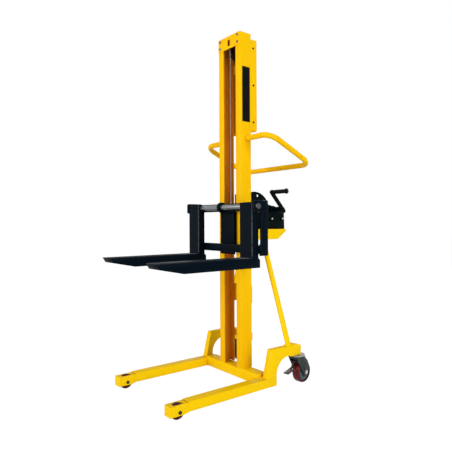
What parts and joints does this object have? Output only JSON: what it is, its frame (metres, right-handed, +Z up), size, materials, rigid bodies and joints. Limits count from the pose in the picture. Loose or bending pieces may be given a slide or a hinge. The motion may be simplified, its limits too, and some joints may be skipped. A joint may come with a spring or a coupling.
{
  "type": "hand pallet stacker",
  "caption": "Hand pallet stacker: channel mast on a low wheeled base, forks on a carriage raised by a wire rope and a geared hand winch, with push handle and swivel casters.",
  "frame": {"origin": "on the floor under the middle of the whole length and width", "axes": "+Z up along the mast, +X to the right seen from in front of the forks, facing the mast, forks point to -Y"},
  "size_m": [0.668, 1.073, 2.061],
  "materials": {
    "yellow_paint": "gloss enamel",
    "black_paint": "satin powder coat",
    "dark_steel": "oiled steel",
    "bright_shaft": "ground and plated",
    "zinc": "zinc plated",
    "wire_rope": "galvanised strands",
    "polyurethane": "moulded polyurethane, satin",
    "hub_plastic": "moulded nylon, matt",
    "grip_plastic": "moulded plastic, satin"
  },
  "bodies": {
    "frame": {"leg_left": "yellow_paint", "leg_right": "yellow_paint", "cross_beam": "yellow_paint", "roller_housing_left": "yellow_paint", "roller_housing_right": "yellow_paint", "front_axles": "zinc", "mast_rail_left": "yellow_paint", "mast_rail_right": "yellow_paint", "head_plate": "yellow_paint", "head_tie": "yellow_paint", "rear_cover": "yellow_paint", "mast_ties": "yellow_paint", "screws": "zinc", "handle_bar": "yellow_paint", "caster_bracket_left": "yellow_paint", "caster_bracket_right": "yellow_paint", "strut_left": "yellow_paint", "strut_right": "yellow_paint", "caster_top_left": "zinc", "caster_top_right": "zinc", "sheave_axle": "zinc", "rope_run": "wire_rope", "rope_front": "wire_rope", "winch_shafts": "zinc", "winch_frame": "black_paint", "winch_bolts": "zinc", "winch_bracket": "yellow_paint"},
    "carriage": {"carriage_body": "black_paint", "carriage_upper_bar": "black_paint", "carriage_lower_bar": "black_paint", "carriage_end_left": "black_paint", "carriage_end_right": "black_paint", "carriage_lug": "black_paint", "fork_shaft": "bright_shaft", "roller_pins": "dark_steel", "rope_anchor": "dark_steel"},
    "fork_left": {"fork_left": "black_paint"},
    "fork_right": {"fork_right": "black_paint"},
    "sheave": {"sheave": "dark_steel"},
    "drum": {"drum": "black_paint", "drum_gear": "dark_steel", "rope_winding": "wire_rope"},
    "idler": {"idler_gear": "dark_steel"},
    "crank": {"crank_shaft": "black_paint", "crank_arm": "black_paint"},
    "crank_grip": {"crank_grip": "grip_plastic"},
    "guide_roller_low_left": {"roller_low_left": "dark_steel"},
    "guide_roller_high_left": {"roller_high_left": "dark_steel"},
    "front_roller_left": {"front_roller_left": "polyurethane"},
    "caster_fork_left": {"caster_yoke_left": "zinc"},
    "caster_wheel_left": {"caster_tyre_left": "polyurethane", "caster_hub_left": "hub_plastic"},
    "brake_pedal_left": {"brake_pedal_left": "zinc"},
    "guide_roller_low_right": {"roller_low_right": "dark_steel"},
    "guide_roller_high_right": {"roller_high_right": "dark_steel"},
    "front_roller_right": {"front_roller_right": "polyurethane"},
    "caster_fork_right": {"caster_yoke_right": "zinc"},
    "caster_wheel_right": {"caster_tyre_right": "polyurethane", "caster_hub_right": "hub_plastic"},
    "brake_pedal_right": {"brake_pedal_right": "zinc"}
  },
  "joints": [
    {"name": "lift", "type": "slide", "parent": "frame", "child": "carriage", "axis": [0, 0, 1], "range_m": [-0.614, 0.85], "deforming": ["rope_front"]},
    {"name": "fork_slide_right", "type": "slide", "parent": "carriage", "child": "fork_right", "axis": [1, 0, 0], "range_m": [-0.185, 0.003]},
    {"name": "fork_slide_left", "type": "slide", "parent": "carriage", "child": "fork_left", "axis": [1, 0, 0], "range_m": [-0.003, 0.185]},
    {"name": "sheave_turn", "type": "hinge", "parent": "frame", "child": "sheave", "pos_m": [0, 0.195, 1.978], "axis": [1, 0, 0], "continuous": true},
    {"name": "drum_turn", "type": "hinge", "parent": "frame", "child": "drum", "pos_m": [0, 0.2835, 1.009], "axis": [1, 0, 0], "continuous": true},
    {"name": "idler_turn", "type": "hinge", "parent": "frame", "child": "idler", "pos_m": [0, 0.36089, 1.01878], "axis": [1, 0, 0], "continuous": true},
    {"name": "crank_turn", "type": "hinge", "parent": "frame", "child": "crank", "pos_m": [0.15, 0.42537, 1.02692], "axis": [1, 0, 0], "continuous": true},
    {"name": "grip_turn", "type": "hinge", "parent": "crank", "child": "crank_grip", "pos_m": [0.22, 0.33537, 1.12542], "axis": [1, 0, 0], "continuous": true},
    {"name": "guide_low_turn_left", "type": "hinge", "parent": "carriage", "child": "guide_roller_low_left", "pos_m": [-0.0745, 0.1785, 0.806], "axis": [1, 0, 0], "continuous": true},
    {"name": "guide_high_turn_left", "type": "hinge", "parent": "carriage", "child": "guide_roller_high_left", "pos_m": [-0.0745, 0.1785, 1.018], "axis": [1, 0, 0], "continuous": true},
    {"name": "front_roller_turn_left", "type": "hinge", "parent": "frame", "child": "front_roller_left", "pos_m": [-0.274, -0.4125, 0.04], "axis": [1, 0, 0], "continuous": true},
    {"name": "caster_swivel_left", "type": "hinge", "parent": "frame", "child": "caster_fork_left", "pos_m": [-0.285, 0.4085, 0.15], "axis": [0, 0, 1], "continuous": true},
    {"name": "caster_wheel_turn_left", "type": "hinge", "parent": "caster_fork_left", "child": "caster_wheel_left", "pos_m": [-0.27888, 0.45207, 0.0625], "axis": [0.9903, -0.1392, 0], "continuous": true},
    {"name": "brake_pedal_press_left", "type": "hinge", "parent": "caster_fork_left", "child": "brake_pedal_left", "pos_m": [-0.28695, 0.39464, 0.13], "axis": [0.9903, -0.1392, 0], "range_deg": [0, 18]},
    {"name": "guide_low_turn_right", "type": "hinge", "parent": "carriage", "child": "guide_roller_low_right", "pos_m": [0.0745, 0.1785, 0.806], "axis": [1, 0, 0], "continuous": true},
    {"name": "guide_high_turn_right", "type": "hinge", "parent": "carriage", "child": "guide_roller_high_right", "pos_m": [0.0745, 0.1785, 1.018], "axis": [1, 0, 0], "continuous": true},
    {"name": "front_roller_turn_right", "type": "hinge", "parent": "frame", "child": "front_roller_right", "pos_m": [0.274, -0.4125, 0.04], "axis": [1, 0, 0], "continuous": true},
    {"name": "caster_swivel_right", "type": "hinge", "parent": "frame", "child": "caster_fork_right", "pos_m": [0.285, 0.4085, 0.15], "axis": [0, 0, 1], "continuous": true},
    {"name": "caster_wheel_turn_right", "type": "hinge", "parent": "caster_fork_right", "child": "caster_wheel_right", "pos_m": [0.27888, 0.45207, 0.0625], "axis": [0.9903, 0.1392, 0], "continuous": true},
    {"name": "brake_pedal_press_right", "type": "hinge", "parent": "caster_fork_right", "child": "brake_pedal_right", "pos_m": [0.28695, 0.39464, 0.13], "axis": [0.9903, 0.1392, 0], "range_deg": [0, 18]}
  ],
  "couplings": [
    {"joint": "sheave_turn", "follows": "lift", "rad_per_m": -20.619},
    {"joint": "drum_turn", "follows": "lift", "rad_per_m": 25},
    {"joint": "idler_turn", "follows": "lift", "rad_per_m": -83.333},
    {"joint": "crank_turn", "follows": "lift", "rad_per_m": 277.78},
    {"joint": "guide_high_turn_left", "follows": "lift", "rad_per_m": 30.675},
    {"joint": "guide_low_turn_left", "follows": "lift", "rad_per_m": -30.675},
    {"joint": "guide_high_turn_right", "follows": "lift", "rad_per_m": 30.675},
    {"joint": "guide_low_turn_right", "follows": "lift", "rad_per_m": -30.675}
  ]
}
